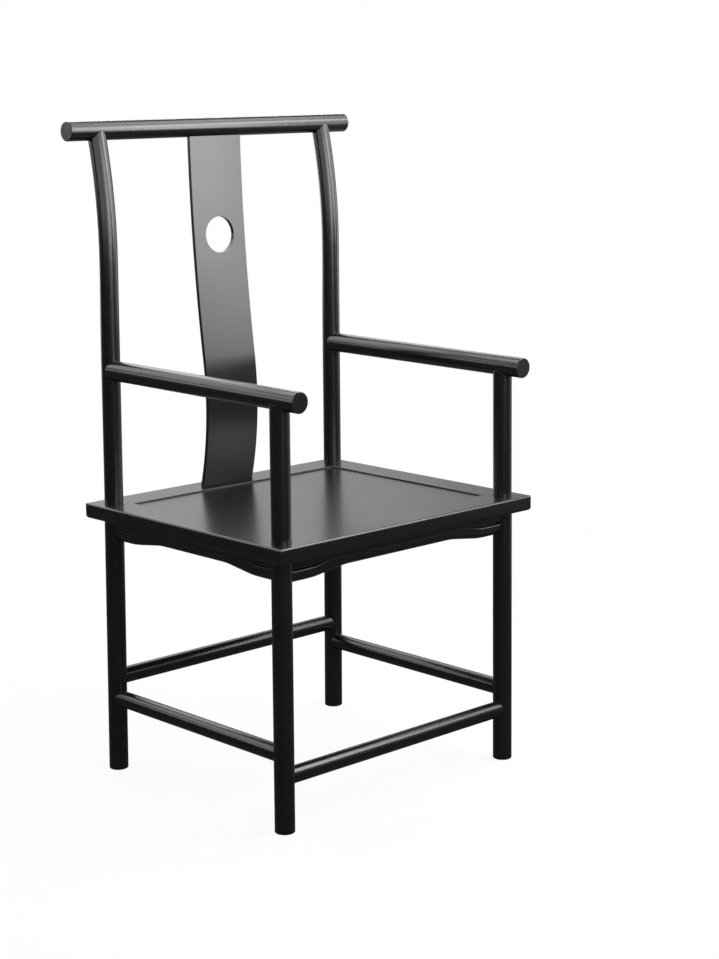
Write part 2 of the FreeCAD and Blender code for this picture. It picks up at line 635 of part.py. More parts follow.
# Humpback rails: coped likewise, with tenons that stop short of the leg's axis; over each of them a
# strip fills the space up to the frame, let over the rail where that is highest
strip_grooves = {}
tenon_length = "humpInset - railTenonShort"
tenon_middle = "(humpInset + railTenonShort) / 2"
tenon_foot = "%s - railTenonHeight / 2"
for end in ends:
    name = end + "_humpback_rail"
    level = "longRailHeight"
    y = leg_y(end, level)
    rail = humpback(name + "_blank", "XZ_Plane", level, "postSpacing / 2", y)
    tenons = []
    for side, sign in sides:
        middle = "%d * (postSpacing / 2 - %s)" % (sign, tenon_middle)
        fill, room = tenon("%s_%s_tenon" % (name, side), "x", tenon_length, "railTenonThickness",
                           "railTenonHeight", middle, y, tenon_foot % level)
        tenons.append(fill)
        post_cuts[side, end].append(room)
    legs = [leg_room[side, end] for side, sign in sides]
    keep(name, fuse(name, [cut(name, rail, legs)] + tenons))
    rail_room = humpback(name + "_room", "XZ_Plane", level, "postSpacing / 2", y, "fit")
    strip_grooves[end] = apron_strip(end + "_apron_strip", "x", "0", y, legs + [rail_room])
for side, sign in sides:
    name = side + "_humpback_rail"
    level = "sideRailHeight"
    x = post_x(sign, level)
    rail = humpback(name + "_blank", "YZ_Plane", level, "postDepth / 2", x)
    tenons = []
    for end, middle in (("front", "frontY + " + tenon_middle), ("rear", "rearY - " + tenon_middle)):
        fill, room = tenon("%s_%s_tenon" % (name, end), "y", "railTenonThickness", tenon_length,
                           "railTenonHeight", x, middle, tenon_foot % level)
        tenons.append(fill)
        post_cuts[side, end].append(room)
    legs = [leg_room[side, end] for end in ends]
    keep(name, fuse(name, [cut(name, rail, legs)] + tenons))
    rail_room = humpback(name + "_room", "YZ_Plane", level, "postDepth / 2", x, "fit")
    strip_grooves[side] = apron_strip(side + "_apron_strip", "y", x, "shiftY", legs + [rail_room])

# Arms: the rear end is coped round the rear post, the front post's tenon enters from below
for side, sign in sides:
    name = side + "_arm"
    x = post_x(sign, "armRearHeight")
    blank = arm_solid(name + "_blank", sign)
    arm_room = arm_solid(name + "_room", sign, "fit")
    own, own_room = tenon(name + "_tenon", "y", "armTenonThickness", "2 * armRadius + armTenonPast",
                          "armTenonHeight", x, "armRearY - armRadius + armTenonPast / 2",
                          "armRearHeight - armTenonHeight / 2")
    post_cuts[side, "rear"].append(own_room)
    head, head_room = tenon(side + "_front_post_tenon", "z", "armTenonThickness", "armTenonDepth",
                            "2 * armRadius + armTenonRise", x, "frontY", "armFrontHeight - 2 * armRadius")
    coped = cut(name, blank, [post_room[side, "rear"], head_room])
    keep(name, fuse(name, [coped, own]))
    post = cut(side + "_front_post", post_blank[side, "front"], [arm_room] + post_cuts[side, "front"])
    keep(side + "_front_post", fuse(side + "_front_post", [post, head]))

# Splat: a bent board with a round hole, let into the crest rail and the rear member
splat_blank = splat_solid("back_splat_blank", "0", "0")
splat_room = splat_solid("back_splat_room", "fit", "tipGap")
hole = along_y("back_splat_hole", "holeRadius", "0", "splatApexY - splatThickness - cutOver",
               "crestY + splatThickness + cutOver", "holeHeight")
keep("back_splat", cut("back_splat", splat_blank, [hole]))

# Crest rail: it caps the coped ends of the rear posts, whose tenons rise into it
crest = new_body("crest_rail_blank")
section = circle_sketch(crest, "crest_rail_section", "YZ_Plane", "crestRadius", "0", "crestY", "crestHeight")
add_pad(crest, section, "crestLength", True)
bevel_ends(crest, "crest_rail_bevel", "endChamfer", lambda box: box.XLength < sizes.fit)
crest_room = along_x("crest_rail_room", "crestRadius + fit", "crestLength / 2", "crestY", "crestHeight")
crest_cuts = [splat_room]
for side, sign in sides:
    name = side + "_rear_post"
    head, head_room = tenon(name + "_tenon", "z", "crestTenonWidth", "crestTenonDepth",
                            "2 * crestRadius + crestTenonRise", post_x(sign, "crestHeight"),
                            "crestY - 2 * crestRadius * sin(crestTurn)",
                            "crestHeight - 2 * crestRadius * cos(crestTurn)", "-crestTurn")
    crest_cuts.append(head_room)
    post = cut(name, post_blank[side, "rear"], [crest_room] + post_cuts[side, "rear"])
    keep(name, fuse(name, [post, head]))
keep("crest_rail", cut("crest_rail", crest, crest_cuts))

# Seat frame: four mitred members, the side ones carry the tongues, round the posts and the panel
members = {
    "rear": member("seat_rear_blank", 0, "innerWidth", "frameWidth", "innerDepth", "frameDepth"),
    "left": member("seat_left_blank", 90, "innerDepth", "frameDepth", "innerWidth", "frameWidth"),
    "front": member("seat_front_blank", 180, "innerWidth", "frameWidth", "innerDepth", "frameDepth"),
    "right": member("seat_right_blank", 270, "innerDepth", "frameDepth", "innerWidth", "frameWidth"),
}
tongues, tongue_rooms = {}, {}
for growth, spare, found in (("0", "0", tongues), ("fit", "tipGap", tongue_rooms)):
    suffix = "" if growth == "0" else "_room"
    found["right", "rear"] = tongue("right_rear_tongue" + suffix, 0, growth, spare)
    found["left", "front"] = tongue("left_front_tongue" + suffix, 180, growth, spare)
    found["left", "rear"] = mirrored("left_rear_tongue" + suffix, found["right", "rear"])
    found["right", "front"] = mirrored("right_front_tongue" + suffix, found["left", "front"])

hole_bevels = {}
for side, sign in sides:
    for end in ends:
        cone = doc.addObject("Part::Cone", "%s_%s_hole_bevel" % (side, end))
        bind(cone, "Radius1", "postRadius + fit")
        bind(cone, "Radius2", "postRadius + fit + 2 * innerChamfer")
        bind(cone, "Height", "2 * innerChamfer")
        place_on_post(cone, sign, end, "0" if end == "front" else "postLeanShare", "-innerChamfer")
        hole_bevels[side, end] = cone

# Panel: it floats in a groove of the frame, its battens are let into the long members
core = block("seat_panel_core", "innerWidth - 2 * panelGap", "innerDepth - 2 * panelGap", "panelThickness",
             "0", "shiftY", "panelBottom")
rim = block("seat_panel_rim", "innerWidth + 2 * panelEntry - 2 * panelGap",
            "innerDepth + 2 * panelEntry - 2 * panelGap", "panelTongue", "0", "shiftY", "panelTongueBottom")
groove = block("seat_panel_groove", "innerWidth + 2 * panelEntry", "innerDepth + 2 * panelEntry",
               "panelTongue + 2 * fit", "0", "shiftY", "panelTongueBottom - fit")
batten_rooms, batten_mortises = [], []
for side, sign in sides:
    name = side + "_batten"
    x = "%d * battenSpacing / 2" % sign
    batten_rooms.append(batten_solid(name + "_room", sign, "fit"))
    lift = "battenBottom + (panelBottom - battenBottom - battenTenonHeight) / 2"
    ears, mortises = tenon(name + "_tenons", "y", "battenTenonWidth", "innerDepth + 2 * battenTenonLength",
                           "battenTenonHeight", x, "shiftY", lift)
    batten_mortises.append(mortises)
    keep(name, fuse(name, [batten_solid(name + "_blank", sign, "0"), ears]))
panel = fuse("seat_panel", [core, rim])
keep("seat_panel", cut("seat_panel", panel, batten_rooms))

for end in ends:
    name = "seat_%s_member" % end
    tools = [groove, strip_grooves[end]] + batten_mortises
    for side, sign in sides:
        tools += [tongue_rooms[side, end], post_room[side, end], hole_bevels[side, end]]
    if end == "rear":
        tools.append(splat_room)
    keep(name, cut(name, members[end], tools))
for side, sign in sides:
    name = "seat_%s_member" % side
    with_tongues = fuse(name, [members[side]] + [tongues[side, end] for end in ends])
    tools = [groove, strip_grooves[side]]
    for end in ends:
        tools += [post_room[side, end], hole_bevels[side, end]]
    keep(name, cut(name, with_tongues, tools))

# Check and write
doc.recompute()
faults = ["%s %s" % (item.Name, item.State) for item in doc.Objects
          if "Invalid" in item.State or "Error" in item.State]
for name, feature in nodes.items():
    shape = feature.Shape
    if shape.isNull() or not shape.isValid() or len(shape.Solids) != 1:
        faults.append("%s is not one sound solid" % name)
if faults:
    raise RuntimeError("; ".join(faults))
os.makedirs("parts", exist_ok=True)
for name, feature in nodes.items():
    feature.Shape.exportStep("parts/%s.step" % name)
    box = feature.Shape.BoundBox
    print("%-22s %8.0f mm3  %s" % (name, feature.Shape.Volume, " ".join(
        "%.1f" % value for value in (box.XMin, box.XMax, box.YMin, box.YMax, box.ZMin, box.ZMax))))
print(len(nodes), "pieces")
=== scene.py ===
import bpy
import math
from mathutils import Matrix, Vector


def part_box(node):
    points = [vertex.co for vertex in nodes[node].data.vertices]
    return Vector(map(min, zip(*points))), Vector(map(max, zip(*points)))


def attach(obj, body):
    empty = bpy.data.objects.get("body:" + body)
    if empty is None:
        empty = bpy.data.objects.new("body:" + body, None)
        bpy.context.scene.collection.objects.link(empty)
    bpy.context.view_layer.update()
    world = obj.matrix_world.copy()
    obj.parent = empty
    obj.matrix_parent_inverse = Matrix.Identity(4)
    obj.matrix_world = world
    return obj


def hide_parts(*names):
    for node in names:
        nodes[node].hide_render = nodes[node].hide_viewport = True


# Official hat armchair in satin black lacquer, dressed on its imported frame.
# Metres, +Z up, front to -Y.

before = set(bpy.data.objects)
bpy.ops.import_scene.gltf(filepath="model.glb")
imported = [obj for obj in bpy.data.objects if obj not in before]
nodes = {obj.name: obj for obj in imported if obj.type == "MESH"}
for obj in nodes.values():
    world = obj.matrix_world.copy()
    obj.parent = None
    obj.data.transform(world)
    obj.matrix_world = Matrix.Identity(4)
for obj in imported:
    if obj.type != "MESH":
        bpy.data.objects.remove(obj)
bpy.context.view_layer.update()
scene = bpy.context.scene
scene.view_settings.view_transform = "Standard"
print("frame loaded:", len(nodes), "pieces")


# Small helpers for node trees; a value is a number, a colour, a vector or another node's output

def feed(tree, node, values):
    for socket, value in values.items():
        if isinstance(value, bpy.types.NodeSocket):
            tree.links.new(value, node.inputs[socket])
        else:
            node.inputs[socket].default_value = value


def addNode(tree, kind, values=None, **settings):
    node = tree.nodes.new(kind)
    for name, value in settings.items():
        setattr(node, name, value)
    feed(tree, node, values or {})
    return node


def newGroup(name, inputs, outputs):
    group = bpy.data.node_groups.new(name, "ShaderNodeTree")
    for way, sockets in (("INPUT", inputs), ("OUTPUT", outputs)):
        for label, kind in sockets.items():
            group.interface.new_socket(label, in_out=way, socket_type="NodeSocket" + kind)
    return group, group.nodes.new("NodeGroupInput"), group.nodes.new("NodeGroupOutput")


def calculate(tree, operation, first, second=None, clamp=False):
    values = {0: first} if second is None else {0: first, 1: second}
    return addNode(tree, "ShaderNodeMath", values, operation=operation, use_clamp=clamp).outputs[0]


def vectorMath(tree, operation, *vectors):
    node = addNode(tree, "ShaderNodeVectorMath", dict(enumerate(vectors)), operation=operation)
    return node.outputs["Value" if operation in ("DOT_PRODUCT", "LENGTH") else "Vector"]


def mapRange(tree, value, low, high, toLow=0.0, toHigh=1.0):
    limits = {"From Min": low, "From Max": high, "To Min": toLow, "To Max": toHigh}
    return addNode(tree, "ShaderNodeMapRange", {"Value": value, **limits}).outputs["Result"]


# Shared effects

woodGrain = {
    "stretch": 0.035,
    "pores": {"Detail": 3.0, "Roughness": 0.6},
    "poreEdge": (0.58, 0.70),
    "rings": {"Detail": 2.0, "Roughness": 0.5, "Distortion": 0.4},
    "ringEdge": (0.3, 0.7),
    "ringHeight": 0.4,
}


def buildGrain():
    # closed pores and soft rings of a hardwood, running along the group's own Z
    group, start, end = newGroup(
        "woodGrain",
        {"Vector": "Vector", "Pores": "Float", "Rings": "Float"},
        {"Pore Mask": "Float", "Ring Tone": "Float", "Height": "Float"})
    stretched = addNode(group, "ShaderNodeMapping", {
        "Vector": start.outputs["Vector"], "Scale": (1.0, 1.0, woodGrain["stretch"])})
    pores, rings = (
        addNode(group, "ShaderNodeTexNoise", {
            "Vector": stretched.outputs["Vector"], "Scale": start.outputs[scale], **woodGrain[look]})
        for scale, look in (("Pores", "pores"), ("Rings", "rings")))
    poreMask = mapRange(group, pores.outputs["Fac"], *woodGrain["poreEdge"])
    ringTone = mapRange(group, rings.outputs["Fac"], *woodGrain["ringEdge"])
    raised = calculate(group, "MULTIPLY", ringTone, woodGrain["ringHeight"])
    feed(group, end, {
        "Pore Mask": poreMask,
        "Ring Tone": ringTone,
        "Height": calculate(group, "SUBTRACT", raised, poreMask),
    })
    return group


rubbing = {
    "clouds": {"Scale": 9.0, "Detail": 4.0, "Roughness": 0.55},
    "cloudMiddle": 0.5,
    "specks": {"Scale": 420.0, "Randomness": 1.0},
    "speckEdge": (0.11, 0.06),
    "peel": {"Scale": 260.0, "Detail": 1.0},
}


def buildSheen():
    # how evenly a finish was rubbed out: broad cloudy patches, very fine dust and a faint peel
    group, start, end = newGroup(
        "rubbedSheen",
        {"Vector": "Vector", "Roughness": "Float", "Variation": "Float"},
        {"Roughness": "Float", "Speck Mask": "Float", "Height": "Float"})
    place = {"Vector": start.outputs["Vector"]}
    clouds = addNode(group, "ShaderNodeTexNoise", {**place, **rubbing["clouds"]})
    specks = addNode(group, "ShaderNodeTexVoronoi", {**place, **rubbing["specks"]})
    peel = addNode(group, "ShaderNodeTexNoise", {**place, **rubbing["peel"]})
    swing = calculate(group, "SUBTRACT", clouds.outputs["Fac"], rubbing["cloudMiddle"])
    swing = calculate(group, "MULTIPLY", swing, start.outputs["Variation"])
    feed(group, end, {
        "Roughness": calculate(group, "ADD", swing, start.outputs["Roughness"]),
        "Speck Mask": mapRange(group, specks.outputs["Distance"], *rubbing["speckEdge"]),
        "Height": peel.outputs["Fac"],
    })
    return group


corners = {"samples": 8, "maskEdge": (0.985, 0.90)}


def buildArris():
    # soft corners that catch the light, and a mask of where they are
    group, start, end = newGroup(
        "softArris", {"Radius": "Float"}, {"Normal": "Vector", "Edge Mask": "Float"})
    rounded = addNode(group, "ShaderNodeBevel", {"Radius": start.outputs["Radius"]},
                      samples=corners["samples"])
    plain = addNode(group, "ShaderNodeNewGeometry")
    likeness = vectorMath(group, "DOT_PRODUCT", rounded.outputs["Normal"], plain.outputs["Normal"])
    feed(group, end, {
        "Normal": rounded.outputs["Normal"],
        "Edge Mask": mapRange(group, likeness, *corners["maskEdge"]),
    })
    return group


grainGroup = buildGrain()
sheenGroup = buildSheen()
arrisGroup = buildArris()
grainTurns = {"X": (0.0, math.radians(90), 0.0), "Y": (math.radians(90), 0.0, 0.0), "Z": (0.0, 0.0, 0.0)}


# Materials

def newMaterial(name):
    material = bpy.data.materials.new(name)
    material.use_nodes = True
    return material, material.node_tree


def woodDetail(tree, place, along, finish):
    # the grain, turned to run along the piece, and the sheen of a finish
    turned = addNode(tree, "ShaderNodeMapping", {"Vector": place, "Rotation": grainTurns[along]})
    grain = addNode(tree, "ShaderNodeGroup", {
        "Vector": turned.outputs["Vector"], "Pores": finish["pores"], "Rings": finish["rings"],
    }, node_tree=grainGroup)
    sheen = addNode(tree, "ShaderNodeGroup", {
        "Vector": place, "Roughness": finish["roughness"], "Variation": finish["variation"],
    }, node_tree=sheenGroup)
    return grain.outputs, sheen.outputs


# the seat frame's outer edges round over towards its top face
moulding = {"from": 0.4605, "to": 0.467, "power": 2.0, "tilt": 0.85, "outerBy": 0.05}


def mouldEdge(tree, place, normal):
    # tips the normals of upright outer faces upwards, more and more towards the top
    height = addNode(tree, "ShaderNodeSeparateXYZ", {"Vector": place}).outputs["Z"]
    share = mapRange(tree, height, moulding["from"], moulding["to"])
    lift = calculate(tree, "MULTIPLY", calculate(tree, "POWER", share, moulding["power"]), moulding["tilt"])
    facing = addNode(tree, "ShaderNodeSeparateXYZ", {"Vector": normal}).outputs["Z"]
    upright = calculate(tree, "SUBTRACT", 1.0, calculate(tree, "ABSOLUTE", facing))
    outer = mapRange(tree, vectorMath(tree, "DOT_PRODUCT", place, normal), 0.0, moulding["outerBy"])
    amount = calculate(tree, "MULTIPLY", lift, calculate(tree, "MULTIPLY", upright, outer))
    raised = addNode(tree, "ShaderNodeCombineXYZ", {"Z": amount}).outputs["Vector"]
    return vectorMath(tree, "NORMALIZE", vectorMath(tree, "ADD", normal, raised))


lacquer = {
    "black": (0.0033, 0.0031, 0.0030, 1.0),
    "worn": (0.030, 0.026, 0.022, 1.0),
    "roughness": 0.24,
    "variation": 0.03,
    "index": 1.6,
    "arris": 0.0007,
    "frameArris": 0.0012,
    "pores": 900.0,
    "rings": 60.0,
    "wear": 0.5,
    "trace": 0.03,
    "dust": 0.05,
    "poreDull": 0.015,
    "dustDull": 0.6,
    "pits": {"Strength": 0.006, "Distance": 0.0003},
    "peel": {"Strength": 0.003, "Distance": 0.0005},
}


def makeLacquer(name, along, corner, moulded=False):
    material, tree = newMaterial(name)
    place = addNode(tree, "ShaderNodeTexCoord").outputs["Object"]
    grain, sheen = woodDetail(tree, place, along, lacquer)
    arris = addNode(tree, "ShaderNodeGroup", {"Radius": corner}, node_tree=arrisGroup).outputs

    # colour: black that thins to brown on the corners, with a trace of the grain
    wear = calculate(tree, "MULTIPLY", arris["Edge Mask"], lacquer["wear"])
    trace = calculate(tree, "MULTIPLY", grain["Ring Tone"], lacquer["trace"])
    dust = calculate(tree, "MULTIPLY", sheen["Speck Mask"], lacquer["dust"])
    rubbed = calculate(tree, "ADD", calculate(tree, "ADD", wear, trace), dust, clamp=True)
    colour = addNode(tree, "ShaderNodeMix", data_type="RGBA")
    feed(tree, colour, {"A": lacquer["black"], "B": lacquer["worn"], "Factor": rubbed})

    # gloss: rubbed clouds, duller in the pores and on the specks
    poreDull = calculate(tree, "MULTIPLY", grain["Pore Mask"], lacquer["poreDull"])
    dustDull = calculate(tree, "MULTIPLY", dust, lacquer["dustDull"])
    gloss = calculate(tree, "ADD", sheen["Roughness"], calculate(tree, "ADD", poreDull, dustDull))

    # relief: rounded corners, pores that sank through the coats, a faint orange peel
    normal = mouldEdge(tree, place, arris["Normal"]) if moulded else arris["Normal"]
    pits = addNode(tree, "ShaderNodeBump", {"Height": grain["Height"], "Normal": normal, **lacquer["pits"]})
    peel = addNode(tree, "ShaderNodeBump", {
        "Height": sheen["Height"], "Normal": pits.outputs["Normal"], **lacquer["peel"]})
    feed(tree, tree.nodes["Principled BSDF"], {
        "Base Color": colour.outputs["Result"],
        "Roughness": gloss,
        "IOR": lacquer["index"],
        "Normal": peel.outputs["Normal"],
    })
    return material


oiledWood = {
    "dark": (0.075, 0.036, 0.018, 1.0),
    "light": (0.19, 0.10, 0.052, 1.0),
    "pore": (0.030, 0.014, 0.008, 1.0),
    "roughness": 0.5,
    "variation": 0.12,
    "pores": 1100.0,
    "rings": 120.0,
    "relief": {"Strength": 0.25, "Distance": 0.0004},
}


def makeOiledWood(name, along):
    material, tree = newMaterial(name)
    place = addNode(tree, "ShaderNodeTexCoord").outputs["Object"]
    grain, sheen = woodDetail(tree, place, along, oiledWood)
    tone = addNode(tree, "ShaderNodeMix", data_type="RGBA")
    feed(tree, tone, {"A": oiledWood["dark"], "B": oiledWood["light"], "Factor": grain["Ring Tone"]})
    pored = addNode(tree, "ShaderNodeMix", data_type="RGBA")
    feed(tree, pored, {"A": tone.outputs["Result"], "B": oiledWood["pore"], "Factor": grain["Pore Mask"]})
    relief = addNode(tree, "ShaderNodeBump", {"Height": grain["Height"], **oiledWood["relief"]})
    feed(tree, tree.nodes["Principled BSDF"], {
        "Base Color": pored.outputs["Result"],
        "Roughness": sheen["Roughness"],
        "Normal": relief.outputs["Normal"],
    })
    return material


lacquers = {axis: makeLacquer("blackLacquer" + axis, axis, lacquer["arris"]) for axis in "XYZ"}
frameLacquers = {
    axis: makeLacquer("frameLacquer" + axis, axis, lacquer["frameArris"], moulded=True) for axis in "XY"}
woodUnderneath = makeOiledWood("oiledWood", "Y")


def grainOf(name):
    # the grain follows the longest side of a piece
    low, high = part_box(name)
    spans = high - low
    return "XYZ"[max(range(3), key=lambda axis: spans[axis])]


def finishOf(name):
    if "batten" in name:
        return woodUnderneath
    return (frameLacquers if "member" in name else lacquers)[grainOf(name)]


for name, node in nodes.items():
    node.data.materials.clear()
    node.data.materials.append(finishOf(name))
battens = sum("batten" in name for name in nodes)
print("finishes: lacquer on", len(nodes) - battens, "pieces, oiled wood on", battens, "battens")


# Legs, as far as the rails between them need: axes at seat height and how they lean

legs = {
    "halfSpacing": 0.250,
    "halfDepth": 0.2125,
    "middleY": 0.00477,
    "seatTop": 0.467,
    "splay": 0.0054,
    "rake": 0.0164,
    "radius": 0.0163,
    "clearance": 0.0001,
}
legReach = legs["radius"] + legs["clearance"]


def legAxis(side, end, height):
    drop = legs["seatTop"] - height
    rake = legs["rake"] if end > 0 else 0.0
    x = side * (legs["halfSpacing"] + legs["splay"] * drop)
    return x, legs["middleY"] + end * legs["halfDepth"] + rake * drop


# What the rails and their fairings share

def alongX(side):
    return side in ("front", "rear")


def spotOf(side, along, fixed, across):
    return (along, fixed + across) if alongX(side) else (fixed + across, along)


def stationsOf(first, last, inset, step):
    length = last - first - 2 * inset
    count = round(length / step)
    return [first + inset + length * number / count for number in range(count + 1)]


def saddleAt(first, last, atFirst, across):
    # where an end meets the round of the leg
    depth = math.sqrt(legReach ** 2 - across ** 2)
    return first + depth if atFirst else last - depth


def loftFaces(rings, size, turned):
    # quads from ring to ring and a cap on each end, all facing outwards
    faces = []
    for number in range(rings - 1):
        for turn in range(size):
            a, b = number * size + turn, number * size + (turn + 1) % size
            faces.append((b, a, a + size, b + size) if turned else (a, b, b + size, a + size))
    first = tuple(range(size))
    last = tuple((rings - 1) * size + turn for turn in range(size))
    return faces + ([first, last[::-1]] if turned else [first[::-1], last])


def addPiece(name, vertices, faces, material, smooth=True):
    mesh = bpy.data.meshes.new(name)
    mesh.from_pydata(vertices, [], faces)
    mesh.polygons.foreach_set("use_smooth", [smooth] * len(mesh.polygons))
    mesh.materials.append(material)
    piece = bpy.data.objects.new(name, mesh)
    scene.collection.objects.link(piece)
    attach(piece, "root")
    return piece


# Humpback rails, with their rise as one easy curve

humpbacks = {
    "radius": 0.009,
    "rise": 0.0092,
    "inset": 0.062,
    "run": 0.066,
    "easing": 0.012,
    "endGap": 0.002,
    "sides": 36,
    "step": 0.003,
    "levels": {"front": 0.411, "rear": 0.411, "left": 0.414, "right": 0.414},
}


def humpAt(fromPost):
    # height of the line and its slope, at a distance from the post's axis
    ease, run, rise = humpbacks["easing"], humpbacks["run"], humpbacks["rise"]
    steep = rise / run
    t = fromPost - humpbacks["inset"]
    if t <= -ease:
        return 0.0, 0.0
    if t < ease:
        return steep * (t + ease) ** 2 / (4 * ease), steep * (t + ease) / (2 * ease)
    if t < run - ease:
        return steep * t, steep
    if t < run + ease:
        left = run + ease - t
        return rise - steep * left ** 2 / (4 * ease), steep * left / (2 * ease)
    return rise, 0.0


def humpbackSpan(side):
    # the axes that a rail runs between, and where it stands across them
    level = humpbacks["levels"][side]
    if alongX(side):
        end = 1 if side == "rear" else -1
        first, last = (legAxis(sign, end, level)[0] for sign in (-1, 1))
        return first, last, legAxis(1, end, level)[1]
    sign = 1 if side == "right" else -1
    first, last = (legAxis(sign, end, level)[1] for end in (-1, 1))
    return first, last, legAxis(sign, 1, level)[0]


def makeHumpback(side):
    level, radius, sides = humpbacks["levels"][side], humpbacks["radius"], humpbacks["sides"]
    first, last, fixed = humpbackSpan(side)
    middle = (first + last) / 2
    stations = stationsOf(first, last, legReach + humpbacks["endGap"], humpbacks["step"])
    rings = [None, *stations, None]
    vertices = []
    for number, station in enumerate(rings):
        for turn in range(sides):
            angle = 2 * math.pi * turn / sides
            across, up = radius * math.cos(angle), radius * math.sin(angle)
            if station is None:
                along, height = saddleAt(first, last, number == 0, across), up
            else:
                rise, slope = humpAt(min(station - first, last - station))
                tilt = math.atan(slope if station < middle else -slope)
                along, height = station - up * math.sin(tilt), rise + up * math.cos(tilt)
            vertices.append((*spotOf(side, along, fixed, across), level + height))
    faces = loftFaces(len(rings), sides, alongX(side))
    piece = addPiece(side + "Humpback", vertices, faces, lacquers["X" if alongX(side) else "Y"])
    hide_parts(side + "_humpback_rail")


for side in humpbacks["levels"]:
    makeHumpback(side)
print("humpback rails:", len(humpbacks["levels"]))


# Fairings: they square the upper half of each humpback rail and join it to the strip above, flush
# with both where they meet, and by a thin set-back web where the rail drops away towards the legs

fairings = {
    "stripBottom": 0.426,
    "gap": 0.0001,
    "halfBody": 0.0089,
    "halfWeb": 0.003,
    "bodyHeight": 0.0106,
    "leastWeb": 0.0002,
    "round": 0.0042,
    "roundSteps": 6,
    "step": 0.003,
}


def fairingProfile(base):
    # across and height of each corner, up the right side, over the web and down the left side
    body, web, steps = fairings["halfBody"], fairings["halfWeb"], fairings["roundSteps"]
    top = fairings["stripBottom"] - fairings["gap"]
    shoulder = min(base + fairings["bodyHeight"], top - fairings["leastWeb"])
    bend = min(fairings["round"], top - shoulder)
    half = [(body, base)]
    for step in range(steps + 1):
        turn = math.radians(90) * step / steps
        half.append((body - bend + bend * math.cos(turn), shoulder - bend + bend * math.sin(turn)))
    half += [(web, shoulder), (web, top)]
    return half + [(-across, height) for across, height in reversed(half)]


def makeFairing(side):
    level = humpbacks["levels"][side]
    first, last, fixed = humpbackSpan(side)
    stations = stationsOf(first, last, legReach, fairings["step"])
    vertices = []
    for number, station in enumerate(stations):
        profile = fairingProfile(level + humpAt(min(station - first, last - station))[0])
        atEnd = number in (0, len(stations) - 1)
        for across, height in profile:
            along = saddleAt(first, last, number == 0, across) if atEnd else station
            vertices.append((*spotOf(side, along, fixed, across), height))
    faces = loftFaces(len(stations), len(profile), alongX(side))
    addPiece(side + "Fairing", vertices, faces, frameLacquers["X" if alongX(side) else "Y"], smooth=False)


for side in humpbacks["levels"]:
    makeFairing(side)
print("fairings:", len(humpbacks["levels"]))


# Camera, to the front left and a little above the crest rail

cameraPlace = {
    "spot": (-2.2598, -2.5080, 1.1749),
    "turn": 43.413, "dip": 11.299, "roll": -0.547,
    "focal": 76.69, "sensor": 36.0, "clipEnd": 60.0,
}


def placeCamera():
    data = bpy.data.cameras.new("camera")
    data.lens = cameraPlace["focal"]
    data.sensor_width = cameraPlace["sensor"]
    data.clip_end = cameraPlace["clipEnd"]
    camera = bpy.data.objects.new("camera", data)
    scene.collection.objects.link(camera)
    turn = Matrix.Rotation(-math.radians(cameraPlace["turn"]), 4, "Z")
    dip = Matrix.Rotation(math.radians(90 - cameraPlace["dip"]), 4, "X")
    roll = Matrix.Rotation(math.radians(cameraPlace["roll"]), 4, "Z")
    camera.matrix_world = Matrix.Translation(Vector(cameraPlace["spot"])) @ turn @ dip @ roll
    scene.camera = camera


placeCamera()
print("camera: focal length", cameraPlace["focal"], "mm")


# Floor, background and lamps

studio = {
    "floorSpan": 12.0,
    "floorColour": (0.80, 0.80, 0.80, 1.0),
    "floorWhite": 0.90,
    "fadeFrom": 0.9,
    "fadeTo": 2.2,
    "floorTowards": (0.90, 0.43, 0.0),
    "floorRange": (0.7, 1.8),
    "floorPaintedGlow": (0.08, 0.42),
    "behind": (0.47, 0.88, 0.0),
    "wallRange": (0.85, 0.985),
    "wallMirrored": (0.04, 1.07),
    "skyFill": 0.10,
}
pureWhite = (1, 1, 1, 1)


def rayKinds(tree):
    path = addNode(tree, "ShaderNodeLightPath").outputs
    mirrored = calculate(tree, "MAXIMUM", path["Is Glossy Ray"], path["Is Transmission Ray"])
    return path["Is Camera Ray"], mirrored


def mixShaders(tree, share, first, second):
    return addNode(tree, "ShaderNodeMixShader", {"Fac": share, 1: first, 2: second}).outputs["Shader"]


def makeFloor():
    # matt and pale, nearly white to the eye and all white further out, with the chair's shadow; gloss
    # sees a painted glow in its place instead of its lit matt surface, dark in front of the chair and
    # brighter behind it
    half = studio["floorSpan"] / 2
    mesh = bpy.data.meshes.new("floor")
    mesh.from_pydata([(-half, -half, 0), (half, -half, 0), (half, half, 0), (-half, half, 0)], [],
                     [(0, 1, 2, 3)])
    floor = bpy.data.objects.new("floor", mesh)
    scene.collection.objects.link(floor)
    material, tree = newMaterial("floor")
    tree.nodes.clear()
    place = addNode(tree, "ShaderNodeTexCoord").outputs["Object"]
    toCamera, mirrored = rayKinds(tree)
    matt = addNode(tree, "ShaderNodeBsdfDiffuse", {"Color": studio["floorColour"]})
    # painted reflection: glossy rays see a glow instead of the lit floor, darker in front of the chair and
    # brighter behind it
    aside = vectorMath(tree, "DOT_PRODUCT", place, studio["floorTowards"])
    paintedGlowStrength = mapRange(tree, aside, *studio["floorRange"], *studio["floorPaintedGlow"])
    glow = addNode(tree, "ShaderNodeEmission", {"Color": pureWhite, "Strength": paintedGlowStrength})
    white = addNode(tree, "ShaderNodeEmission", {"Color": pureWhite, "Strength": 1.0})
    mattOrPaintedGlow = mixShaders(tree, mirrored, matt.outputs["BSDF"], glow.outputs["Emission"])
    whiteness = mapRange(tree, vectorMath(tree, "LENGTH", place), studio["fadeFrom"], studio["fadeTo"],
                         studio["floorWhite"], 1.0)
    share = calculate(tree, "MULTIPLY", toCamera, whiteness)
    seen = mixShaders(tree, share, mattOrPaintedGlow, white.outputs["Emission"])
    addNode(tree, "ShaderNodeOutputMaterial", {"Surface": seen})
    mesh.materials.append(material)


